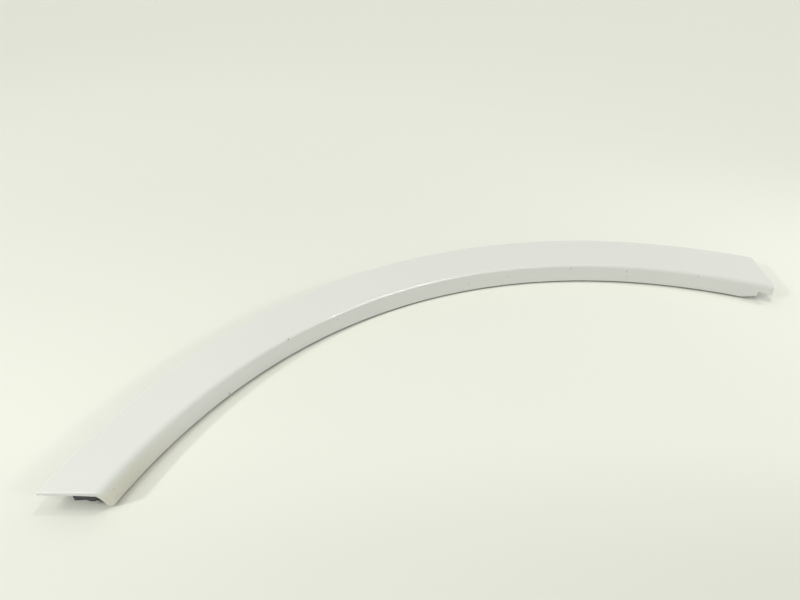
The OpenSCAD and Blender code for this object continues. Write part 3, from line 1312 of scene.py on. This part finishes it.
@dataclass
class Moulding:
    """The painted one-piece moulding, with its skin and what stands on its back."""

    effects: Effects
    smooth_angle: float = math.radians(38)
    margin: float = 0.1 * MM
    rim_width: float = 1.5

    def __post_init__(self) -> None:
        """Take the moulding's size and place from the frame."""
        low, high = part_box("moulding")
        self.skin = MouldingSkin(low, high)
        names = sorted(name for name in frame["nodes"] if name.startswith("clip_"))
        centres = [(one + two) / 2 for one, two in map(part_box, names)]
        back = high.z - self.skin.section.wall
        self.back = BackFeatures(self.skin.plan, self.skin.axis, back, centres)

    def build(self) -> bpy.types.Object:
        """Make the moulding, dress it and put it in the frame.

        Returns:
            The moulding.
        """
        mesh = bpy.data.meshes.new("moulding_skin")
        skin = self.skin.build()
        skin.to_mesh(mesh)
        skin.free()
        piece = put_in_scene("painted_moulding", mesh)
        self._join_back(piece)
        lip = LipPlaces(self.skin.axis, self.skin.plan.lip_radius, self.skin.foot_height)
        piece.data.materials.append(PaintedPlastic(lip, self.effects).make())
        for polygon in piece.data.polygons:
            polygon.use_smooth = True
        piece.data.set_sharp_from_angle(angle=self.smooth_angle)
        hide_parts("moulding")
        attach(piece, ROOT_BODY)
        return piece

    def _join_back(self, piece: bpy.types.Object) -> None:
        """Unite the skin with each feature on the back.

        Args:
            piece: The moulding's object, which holds the skin.
        """
        tools = bpy.data.collections.new("back_features")
        for part in self.back.build():
            coat = part.verts.layers.float.new(PaintedPlastic.COATING)
            for vert in part.verts:
                vert[coat] = Coating.RAW.value
            bmesh.ops.recalc_face_normals(part, faces=part.faces)
            mesh = bpy.data.meshes.new("back_feature")
            part.to_mesh(mesh)
            part.free()
            tools.objects.link(bpy.data.objects.new("back_feature", mesh))
        bpy.context.scene.collection.children.link(tools)
        union = piece.modifiers.new("unite", "BOOLEAN")
        union.operation = "UNION"
        union.solver = "EXACT"
        union.operand_type = "COLLECTION"
        union.collection = tools
        depsgraph = bpy.context.evaluated_depsgraph_get()
        united = bpy.data.meshes.new_from_object(piece.evaluated_get(depsgraph))
        piece.modifiers.remove(union)
        piece.data = united
        for tool in list(tools.objects):
            bpy.data.objects.remove(tool)
        bpy.data.collections.remove(tools)
        self._bare_back(united)

    def _bare_back(self, mesh: bpy.types.Mesh) -> None:
        """Leave what stands in the hollow behind the face without paint.

        Args:
            mesh: The united mesh.
        """
        skin, plan, section = self.skin, self.skin.plan, self.skin.section
        count = len(mesh.vertices)
        place = np.empty(count * 3)
        mesh.vertices.foreach_get("co", place)
        x, y, z = place.reshape(count, 3).T
        x, y = x - skin.axis.x, y - skin.axis.y
        radius = np.hypot(x, y)
        edge = plan.edge_at(np.arctan2(y, x)) - section.edge_thickness
        depth = (skin.face_height - z) / section.lip_depth
        behind = y - plan.bumper_cut - plan.bumper_cut_draw * depth
        rim = (1 + section.corner_bead) * section.end_bead
        past_rim = behind > self.rim_width * section.end_bead_width
        thickness = section.wall + np.where(past_rim, 0.0, rim) + self.margin
        inside = (radius > plan.lip_radius + thickness) & (radius < edge - self.margin)
        coats = mesh.attributes[PaintedPlastic.COATING].data
        values = np.empty(count)
        coats.foreach_get("value", values)
        values[inside & (z < skin.face_height - thickness)] = Coating.RAW.value
        coats.foreach_set("value", values)


@dataclass
class Fasteners:
    """The clips and their sealing rings, which keep their packed form."""

    effects: Effects

    def dress(self) -> list[bpy.types.Object]:
        """Give each clip and ring its finish.

        Returns:
            The dressed pieces.
        """
        dressed = []
        for start, finish in (("clip_", CLIP_FINISH), ("seal_", SEAL_FINISH)):
            material = finish.make(self.effects)
            for piece in (frame["nodes"][n] for n in sorted(frame["nodes"]) if n.startswith(start)):
                piece.data.materials.clear()
                piece.data.materials.append(material)
                dressed.append(piece)
        return dressed


@dataclass(frozen=True)
class DistantLamp:
    """A distant soft lamp: its share of the light on the surface, its direction and its size.

    The size is how wide the lamp looks from the trim, in degrees.
    """

    name: str
    share: float
    direction: Place
    size: float

    def hang(self) -> None:
        """Add the lamp to the scene."""
        out = Vector(self.direction).normalized()
        lamp = bpy.data.lights.new(self.name, "SUN")
        lamp.energy = self.share * math.pi / out.z
        lamp.angle = math.radians(self.size)
        put_in_scene(self.name, lamp).rotation_euler = out.to_track_quat("Z", "Y").to_euler()


@dataclass(frozen=True)
class NearLamp:
    """A round shaded lamp near the trim, by its share of the light at the place that it faces."""

    name: str
    share: float
    target: Place
    offset: Place
    width: float
    half_cone: float = math.radians(60.0)

    def hang(self) -> None:
        """Add the lamp to the scene."""
        out = Vector(self.offset)
        lamp = bpy.data.lights.new(self.name, "AREA")
        lamp.shape = "DISK"
        lamp.size = self.width
        lamp.spread = 2 * self.half_cone
        gathered = 1 - self.half_cone / math.tan(self.half_cone)
        lamp.energy = self.share * gathered * math.pi**2 * out.length**3 / out.z
        hung = put_in_scene(self.name, lamp)
        hung.location = Vector(self.target) + out
        hung.rotation_euler = out.to_track_quat("Z", "Y").to_euler()


@dataclass
class Studio:
    """The pale surface, the lamps and the camera."""

    floor_size: float = 40.0
    sky_colour: Colour = (1.0, 1.0, 0.985, 1.0)
    sky_level: float = 0.465
    sky_back: float = 0.30
    room_colour: Colour = (0.84, 0.85, 0.78, 1.0)
    lamps: tuple[DistantLamp | NearLamp, ...] = (
        NearLamp("key_lamp", 0.20, (-0.250, -0.152, 0.0), (-0.963, -0.54, 0.90), 0.12),
        NearLamp("end_lamp", 0.09, (0.292, 0.072, 0.0), (0.30, 0.06, 0.36), 0.12),
        DistantLamp("high_key_lamp", 0.12, (-0.36, -0.34, 0.87), 18.0),
        DistantLamp("steep_lamp", 0.09, (-0.28, -0.13, 0.951), 8.0),
        DistantLamp("side_lamp", 0.05, (1.77, -0.805, 1.0), 4.0),
        DistantLamp("crown_lamp", 0.09, (0.40, 0.085, 0.912), 4.2),
        NearLamp("edge_lamp", 0.045, (-0.277, -0.165, 0.020), (-0.280, -0.044, 0.480), 0.027),
    )
    camera_place: Place = (-68.8 * MM, -394.4 * MM, 321.0 * MM)
    camera_pitch: float = math.radians(55.8)
    camera_range: Span = (0.01, 60.0)
    lens: float = 26.06
    sensor: float = 36.0

    def build(self) -> None:
        """Make the stage."""
        self._floor()
        self._sky()
        for lamp in self.lamps:
            lamp.hang()
        self._camera()

    def _floor(self) -> None:
        """Lay the surface that the trim lies on."""
        half = self.floor_size / 2
        mesh = bpy.data.meshes.new("table_top")
        corners = [(-half, -half, 0.0), (half, -half, 0.0), (half, half, 0.0), (-half, half, 0.0)]
        mesh.from_pydata(corners, [], [(0, 1, 2, 3)])
        mesh.materials.append(PaleSurface().make())
        put_in_scene("table_top", mesh)

    def _sky(self) -> None:
        """Light the scene from all round, more from behind the trim than from the front."""
        world = bpy.data.worlds.new("white_room")
        bpy.context.scene.world = world
        world.use_nodes = True
        graph = Graph(world.node_tree)
        across = graph.along(graph.add("ShaderNodeTexCoord").outputs["Generated"], "Y")
        more = self.sky_back * self.sky_level
        level = graph.math("MULTIPLY_ADD", across, more, self.sky_level)
        rays = graph.add("ShaderNodeLightPath").outputs
        seen = graph.math("MAXIMUM", rays["Is Camera Ray"], rays["Is Glossy Ray"])
        seen = graph.math("MAXIMUM", seen, rays["Is Transmission Ray"])
        background = graph.feed(
            graph.add("ShaderNodeBackground"),
            Color=graph.mix(seen, self.sky_colour, self.room_colour),
            Strength=graph.mix(seen, level, 1.0, "FLOAT"),
        )
        graph.feed(graph.add("ShaderNodeOutputWorld"), Surface=background.outputs["Background"])

    def _camera(self) -> None:
        """Set the camera up as the photograph was taken."""
        lens = bpy.data.cameras.new("phone")
        lens.lens = self.lens
        lens.sensor_width = self.sensor
        lens.clip_start, lens.clip_end = self.camera_range
        camera = put_in_scene("phone", lens)
        camera.location = self.camera_place
        camera.rotation_euler = (self.camera_pitch, 0.0, 0.0)
        bpy.context.scene.camera = camera


def main() -> None:
    """Build the dressed trim and its stage."""
    logging.basicConfig(level=logging.INFO, format="%(name)s: %(message)s")
    bpy.context.scene.view_settings.view_transform = "Standard"
    effects = Effects()
    piece = Moulding(effects).build()
    log.info("%s: %d faces", piece.name, len(piece.data.polygons))
    for dressed in Fasteners(effects).dress():
        log.info("%s: dressed", dressed.name)
    Studio().build()


if __name__ == "__main__":
    main()
